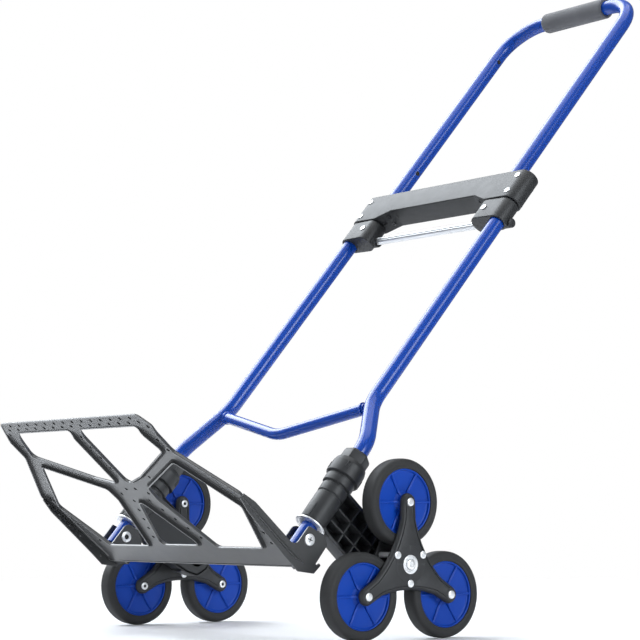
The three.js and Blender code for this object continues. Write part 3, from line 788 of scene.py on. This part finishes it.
bm.to_mesh(toe_plate.data)
bm.free()

for label, s in SIDES:
    place = ON_FRAME @ at(s * LEG_X, 0, HINGE_Z) @ towards(s)
    headed(f"hinge_bolt_{label}", "load_plate", place, 7.8, 2.1, 18.6, 5, socket=0.45, cross=True)
    foot = PLATE_TOP + 0.3
    block = rounded([(18, foot), (31, foot), (31, -76), (27, -72), (18, -72)], 1.5, 4)
    heel = Shell().add(plate(block, (), s * LEG_X - 15.2, s * LEG_X + 15.2, 0.8), PLAN_YZ)
    heel.make(f"heel_{label}_fine", BLACK_PLASTIC, "load_plate", ON_FRAME, [f"heel_{label}"],
              "black_plastic")

# ---- wheel brackets, collars and washers --------------------------------------------
# the bracket's outline and its sleeve's profile
BRACKET = [(6, -32), (24, -35), (74, -37), (118, -28), (136, -20), (143, 0), (136, 18), (118, 28),
           (6, 30)]
SLEEVE = [(BORE_R, -35), (17.6, -35), (18, -12), (18, 9), (16.9, 9.8), (16.9, 11.4), (18.4, 12.2),
          (18.6, 24), (17.4, 25), (17.4, 27), (20.4, 27.8), (20.6, 39), (19.4, 39.8), (19.4, 41),
          (23.4, 42), (23.4, 60), (21.4, 66.4), (BORE_R, 66.4)]
# latches round the leg, as (angle, half width, low, high)
LATCHES = ((-123, 4.6, 44, 54), (-40, 2.6, 50, 60), (60, 4.6, 44, 54), (140, 2.6, 50, 60))
WALL_T, WEB_T, RIB_HALF = 4.2, 4, 1.1
COLLAR_R, COLLAR_LOW, COLLAR_TOP, CHAMFER_FROM = 19.4, 66.9, 85.6, 16.4


def round_leg(turn, s):
    """Turns about the leg, in degrees, and mirrors the angle on the left."""
    return Matrix.Rotation(math.radians(turn if s > 0 else 180 - turn), 4, "Z")


for label, s in SIDES:
    leg = ON_FRAME @ at(x=s * LEG_X)
    body = Shell()
    body.add(revolve(soften(SLEEVE, 0.7, True), 64, ring=True))
    # latch frames and their tongues on the wide collar, and lugs low on the sleeve
    for turn, wide, z0, z1 in LATCHES:
        key = round_leg(turn, s) @ at(x=23)
        body.add(bar(-1.2, 1.0, -wide, -wide + 1.3, z0, z1, 0.35), key)
        body.add(bar(-1.2, 1.0, wide - 1.3, wide, z0, z1, 0.35), key)
        body.add(bar(-1.2, 1.0, -wide + 1, wide - 1, z1 - 1.3, z1, 0.35), key)
        body.add(bar(-1.2, 0.6, -wide + 2, wide - 2, z0, z1 - 3, 0.3), key)
    for turn in (-165, -75):
        key = round_leg(turn, s) @ at(x=17.4)
        body.add(bar(-2, 1.4, -4.5, 4.5, -33, -12, 0.7), key)
    low, high = (-11, 14) if s > 0 else (-14, 11)
    outer = rounded(BRACKET, 8)
    body.add(plate(outer, [inset(outer, WALL_T)], low, high, 0.7), PLAN_YZ)
    web_low, web_high = (low, low + WEB_T) if s > 0 else (high - WEB_T, high)
    body.add(plate(inset(outer, 1), (), web_low, web_high, 0.5), PLAN_YZ)
    rib_low, rib_high = (low + 2, high - 0.7) if s > 0 else (low + 0.7, high - 2)
    ribs = [box(y - RIB_HALF, y + RIB_HALF, -33, 27) for y in (40.5, 63.6, 86.7, 109.8)]
    ribs += [box(14, 134, z - RIB_HALF, z + RIB_HALF) for z in (-15.6, 3.4)]
    for rib in ribs:
        body.add(plate(rib, (), rib_low, rib_high, 0.35, 2), PLAN_YZ)
    boss = soften([(5.4, -11), (13, -11), (13, 22.2), (11.8, 23), (5.4, 23)], 0.6, True)
    body.add(revolve(boss, 48, ring=True), at(y=STAR_BACK) @ towards(s))
    body.make(f"wheel_bracket_{label}_fine", BLACK_PLASTIC, f"wheel_bracket_{label}", leg,
              [f"wheel_bracket_{label}"], "black_plastic")

    screw = Shell().add(bolt_head(3.6, 1.6))
    screw.add(revolve([(0, -3), (1.8, -3), (1.8, 0), (0, 0)], 16))
    screw.make(f"bracket_screw_{label}", ZINC, f"wheel_bracket_{label}", leg @ at(s * 8, 54, 29.4),
               (), "zinc")

    collar = Shell()
    verts, faces = plate(rounded(circle(COLLAR_R, 6), 2.2, 4), [round_hole(11.2, n=36)],
                         COLLAR_LOW, COLLAR_TOP, 1.0, 4, hole_soft=0.5)
    for v in verts:     # the top corners are cut back
        if v.z > (COLLAR_LOW + COLLAR_TOP) / 2:
            v.z -= 1.7 * max(0, math.hypot(v.x, v.y) - CHAMFER_FROM)
    collar.add((verts, faces))
    collar.make(f"lock_collar_{label}_fine", BLACK_PLASTIC, "frame", leg, [f"lock_collar_{label}"],
                "black_plastic")
    washer = Shell()
    ring = soften([(11.2, -37.6), (21, -37.6), (21, -35.4), (11.2, -35.4)], 0.5, True)
    washer.add(revolve(ring, 56, ring=True))
    washer.make(f"leg_washer_{label}_fine", ZINC, "frame", leg, [f"leg_washer_{label}"], "zinc")

    axle = Shell()
    axle.add(revolve([(0, -11.2), (5, -11.2), (5, 65), (0, 65)], 28))
    head = soften([(0, 64.8), (6.6, 64.8), (6.6, 66.4), (3.4, 67), (3, 66.2), (0, 66.2)],
                  [0, 0.3, 0.8, 0.2, 0.2, 0])
    axle.add(revolve(head, 32))
    axle.add(plate(rounded(circle(9, 6), 1, 2), (), -18, -11.3, 0.7))      # the nut
    axle.make(f"star_bolt_{label}_fine", ZINC, f"wheel_bracket_{label}",
              leg @ at(y=STAR_BACK) @ towards(s), [f"star_bolt_{label}"], "zinc")

# ---- stars and wheels ---------------------------------------------------------------
STAR_NEAR, STAR_FAR, STUD_REACH = 13.4, 20.4, 20.5
# an arm's round end, the point where its straight sides stop, and the hollow between two arms
TIP_R, ARM_ROOT, WAIST = 11.5, 58, 26
STUD_RING, HUB_HOLE, AXLE_HOLE = 24.4, 11.3, 4.3
# the arms' edge: a roll, a fine groove inside it, then the flat face
ROLL = [(0, 5.2), (0.45, 3.6), (1.4, 2.0), (2.7, 0.8), (4.2, 0.15), (4.7, 0.15), (5.0, 1.3),
        (5.6, 1.3), (5.9, 0.15), (6.3, 0.0)]


def star_outline():
    """Three arms, each a half round end and two sides, joined by hollow curves."""
    outline = []
    for k in range(3):
        a = math.radians(90 + 120 * k)
        along, left = Vector((math.cos(a), math.sin(a))), Vector((-math.sin(a), math.cos(a)))
        outline.append(along * ARM_ROOT - left * (TIP_R + 0.6))
        for i in range(17):
            t = a - math.pi / 2 + math.pi * i / 16
            outline.append(along * ARM + Vector((math.cos(t), math.sin(t))) * TIP_R)
        start = along * ARM_ROOT + left * (TIP_R + 0.6)
        b, c = a + math.pi / 3, a + 2 * math.pi / 3
        knee = Vector((math.cos(b), math.sin(b))) * WAIST
        end = Vector((math.cos(c), math.sin(c))) * ARM_ROOT
        end -= Vector((-math.sin(c), math.cos(c))) * (TIP_R + 0.6)
        for i in range(14):
            t = i / 14
            outline.append(start * (1 - t) ** 2 + knee * 2 * t * (1 - t) + end * t * t)
    return outline


def washer_face(inner, outer, rise, soft, n):
    """A flat ring that stands a little above the star's face."""
    low, high = STAR_FAR - 0.6, STAR_FAR + rise
    profile = soften([(inner, low), (outer, low), (outer, high), (inner, high)], soft, True)
    return revolve(profile, n, ring=True)


axles, studs = spokes(ARM, 90), spokes(STUD_RING, 150)
star_holes = [round_hole(HUB_HOLE, n=48)] + [round_hole(AXLE_HOLE, *p) for p in axles]
RACE = [(5.4, -20), (11, -20), (11, 20.2), (12.2, 20.75), (12.2, 21.3), (10.5, 21.5), (10.1, 20.6),
        (9.3, 20.6), (8.9, 21.3), (7.5, 21.3), (7.3, 20.3), (5.4, 20.3)]
half_tread = [(43.4, -10.6), (44, -11.3), (45, -11.6), (46.6, -11.7), (47, -11.5), (47.4, -11.7),
              (50, -11.9), (52.6, -11.6), (54.4, -10.7), (55.6, -9.2), (56.1, -7.6), (56.4, -5),
              (56.5, 0)]
tread = half_tread + [(r, -h) for r, h in half_tread[-2::-1]]
half_disc = [(4.4, 13), (9, 13), (10.4, 7.5), (14.5, 5.0), (38.5, 6.6), (40.6, 7.4), (41.2, 10.0),
             (43.2, 10.6)]
disc_profile = soften([(r, -h) for r, h in half_disc] + half_disc[::-1], 0.7, True)
# a spoke rib's sections outwards, as (radius, height of its crest, half width)
RIB = ((9.6, 10.5, 1.9), (13, 8.2, 1.8), (20, 7.7, 1.6), (38, 9.2, 1.4), (41, 9.6, 1.4))


def rib_section(r, crest, w, face):
    """One section of a rib on the face that looks to +z (1) or to -z (-1)."""
    foot, side = face * 4, face * (crest - 0.6)
    return [Vector((r, -w, foot)), Vector((r, -w, side)), Vector((r, 0, face * crest)),
            Vector((r, w, side)), Vector((r, w, foot))]


for label, s in SIDES:
    star = Matrix.Translation(Vector(JOINT[f"star_spin_{label}"]["pos_m"])) @ MM
    out = towards(s)
    for kind, face in (("outer", s), ("inner", -s)):
        # built with the face towards +x, then mirrored for the plates that look to -x
        view = Matrix.Identity(4) if face > 0 else Matrix.Scale(-1, 4, (1, 0, 0))
        arm = Shell()
        flat = plate(star_outline(), star_holes, STAR_NEAR, STAR_FAR, hole_soft=0.3, lip=ROLL)
        arm.add(flat, view @ PLAN_YZ)
        arm.add(washer_face(11.6, 24.3, 0.35, 0.3, 64), view @ TO_X)
        for p in axles:
            arm.add(washer_face(4.4, 8.6, 0.2, 0.2, 40), view @ at(0, p.x, p.y) @ TO_X)
        arm.make(f"star_plate_{kind}_{label}_fine", BLACK_PLASTIC, f"star_{label}", star,
                 [f"star_plate_{kind}_{label}"], "black_plastic")
    bearing = Shell().add(revolve(soften(RACE, 0.15, True), 56, ring=True), out)
    bearing.make(f"star_bearing_{label}_fine", ZINC, f"star_{label}", star,
                 [f"star_bearing_{label}"], "zinc")
    for i, p in enumerate(studs):
        headed(f"star_rivet_{label}_{i + 1}", f"star_{label}", star @ at(0, p.x, p.y) @ out,
               5.0, 1.6, STUD_REACH, 4)
    for i, p in enumerate(axles):
        place = star @ at(0, p.x, p.y)
        headed(f"wheel_bolt_{label}_{i + 1}", f"star_{label}", place @ out, 5.4, 2.0, STUD_REACH, 4,
               socket=0.42)
        tyre = Shell().add(revolve(tread, 112, ring=True), out)
        tyre.make(f"tyre_{label}_{i + 1}_fine", RUBBER, f"wheel_{label}_{i + 1}", place,
                  [f"tyre_{label}_{i + 1}"], "tyre_rubber", 30)
        wheel = Shell().add(revolve(disc_profile, 72, ring=True), out)
        for k in range(6):
            turn = Matrix.Rotation(math.radians(60 * k + 30), 4, "Z")
            for face in (-1, 1):
                wheel.add(loft([rib_section(*section, face) for section in RIB]), out @ turn)
        wheel.make(f"rim_{label}_{i + 1}_fine", BLUE_PLASTIC, f"wheel_{label}_{i + 1}", place,
                   [f"rim_{label}_{i + 1}"], "blue_plastic")

# ---- floor, light and camera --------------------------------------------------------
FLOOR_R, FLOOR_FADE_FROM, FLOOR_N = 2.6, 0.8, 96
FLOOR_Z = -0.0004           # just under the wheels
BACKDROP_R = 30
CAMERA_AT, LENS, SENSOR = (2.3186, -1.8582, 0.1604), 116.2, 36
AZIMUTH, PITCH = math.radians(52.15), math.radians(5.38)
# The studio: dim walls with soft round lamps far away, and one softbox above. Each lamp has a
# direction, a strength and the angles from its middle where it is full and where it ends.
WALLS, TINT = 0.28, (0.9, 0.95, 1, 1)
LAMPS = [((-0.41, -0.41, 0.815), 8, 7, 19), ((-0.78, 0.03, 0.62), 7.3, 10, 25),
         ((-0.13, -0.86, 0.5), 5.3, 6, 17), ((0.93, 0.13, 0.33), 9.5, 6, 19)]
SOFTBOX_AT, SOFTBOX_SIDE, SOFTBOX_W = (0.2, 0.5, 3.0), 2.2, 30


def stand(name, data, location=(0, 0, 0)):
    obj = bpy.data.objects.new(name, data)
    obj.location = location
    bpy.context.scene.collection.objects.link(obj)
    return obj


def floor_finish():
    """Pale and plain, and fading into the white backdrop away from the trolley."""
    mat = bpy.data.materials.new("pale_floor")
    mat.use_nodes = True
    nt = mat.node_tree
    nt.nodes.clear()
    N, L = nt.nodes.new, nt.links.new
    coords, length = N("ShaderNodeTexCoord"), N("ShaderNodeVectorMath")
    fade = N("ShaderNodeMapRange")
    length.operation = "LENGTH"
    L(coords.outputs["Object"], length.inputs[0])
    fade.interpolation_type = "SMOOTHERSTEP"
    fade.inputs["From Min"].default_value = FLOOR_FADE_FROM
    fade.inputs["From Max"].default_value = FLOOR_R
    L(length.outputs["Value"], fade.inputs["Value"])
    pale, clear_ = N("ShaderNodeBsdfPrincipled"), N("ShaderNodeBsdfTransparent")
    mix, out = N("ShaderNodeMixShader"), N("ShaderNodeOutputMaterial")
    pale.inputs["Base Color"].default_value = (0.86, 0.86, 0.87, 1)
    pale.inputs["Roughness"].default_value = 0.5
    pale.inputs["Emission Color"].default_value = (1, 1, 1, 1)
    pale.inputs["Emission Strength"].default_value = 0.03
    L(fade.outputs[0], mix.inputs[0])
    L(pale.outputs[0], mix.inputs[1])
    L(clear_.outputs[0], mix.inputs[2])
    L(mix.outputs[0], out.inputs[0])
    return mat


bm = bmesh.new()
bmesh.ops.create_circle(bm, cap_ends=True, segments=FLOOR_N, radius=FLOOR_R)
mesh = bpy.data.meshes.new("floor")
bm.to_mesh(mesh)
bm.free()
mesh.materials.append(floor_finish())
stand("floor", mesh, (0, 0, FLOOR_Z))

# a white dome that only the camera sees
bm = bmesh.new()
bmesh.ops.create_icosphere(bm, subdivisions=4, radius=BACKDROP_R)
mesh = bpy.data.meshes.new("backdrop")
bm.to_mesh(mesh)
bm.free()
white = bpy.data.materials.new("white_backdrop")
white.use_nodes = True
bsdf = white.node_tree.nodes["Principled BSDF"]
bsdf.inputs["Base Color"].default_value = (0, 0, 0, 1)
bsdf.inputs["Specular IOR Level"].default_value = 0
bsdf.inputs["Emission Color"].default_value = (1, 1, 1, 1)
bsdf.inputs["Emission Strength"].default_value = 1.0
mesh.materials.append(white)
dome = stand("backdrop", mesh)
for ray in ("diffuse", "glossy", "transmission", "shadow"):
    setattr(dome, f"visible_{ray}", False)

world = bpy.data.worlds.new("studio")
world.use_nodes = True
nt = world.node_tree
glow = nt.nodes["Background"]
glow.inputs[0].default_value = TINT
heading = nt.nodes.new("ShaderNodeTexCoord").outputs["Generated"]
total = None
for toward, power, full, end in LAMPS:
    dot, lobe = nt.nodes.new("ShaderNodeVectorMath"), nt.nodes.new("ShaderNodeMapRange")
    dot.operation = "DOT_PRODUCT"
    dot.inputs[1].default_value = Vector(toward).normalized()
    nt.links.new(heading, dot.inputs[0])
    lobe.interpolation_type = "SMOOTHSTEP"
    lobe.inputs["From Min"].default_value = math.cos(math.radians(end))
    lobe.inputs["From Max"].default_value = math.cos(math.radians(full))
    lobe.inputs["To Max"].default_value = power
    nt.links.new(dot.outputs["Value"], lobe.inputs["Value"])
    plus = nt.nodes.new("ShaderNodeMath")
    plus.inputs[0].default_value = WALLS
    if total:
        nt.links.new(total, plus.inputs[0])
    nt.links.new(lobe.outputs[0], plus.inputs[1])
    total = plus.outputs[0]
nt.links.new(total, glow.inputs[1])
bpy.context.scene.world = world
bpy.context.scene.view_settings.view_transform = "Standard"

softbox = bpy.data.lights.new("softbox", "AREA")
softbox.shape = "RECTANGLE"
softbox.size, softbox.size_y, softbox.energy = SOFTBOX_SIDE, SOFTBOX_SIDE, SOFTBOX_W
lamp = stand("softbox", softbox, SOFTBOX_AT)
lamp.rotation_euler = (-lamp.location).to_track_quat("-Z", "Y").to_euler()

camera = bpy.data.cameras.new("camera")
camera.sensor_width, camera.lens = SENSOR, LENS
cam = stand("camera", camera, CAMERA_AT)
level = math.cos(PITCH)
look = Vector((-math.sin(AZIMUTH) * level, math.cos(AZIMUTH) * level, math.sin(PITCH)))
cam.rotation_euler = look.to_track_quat("-Z", "Y").to_euler()
bpy.context.scene.camera = cam
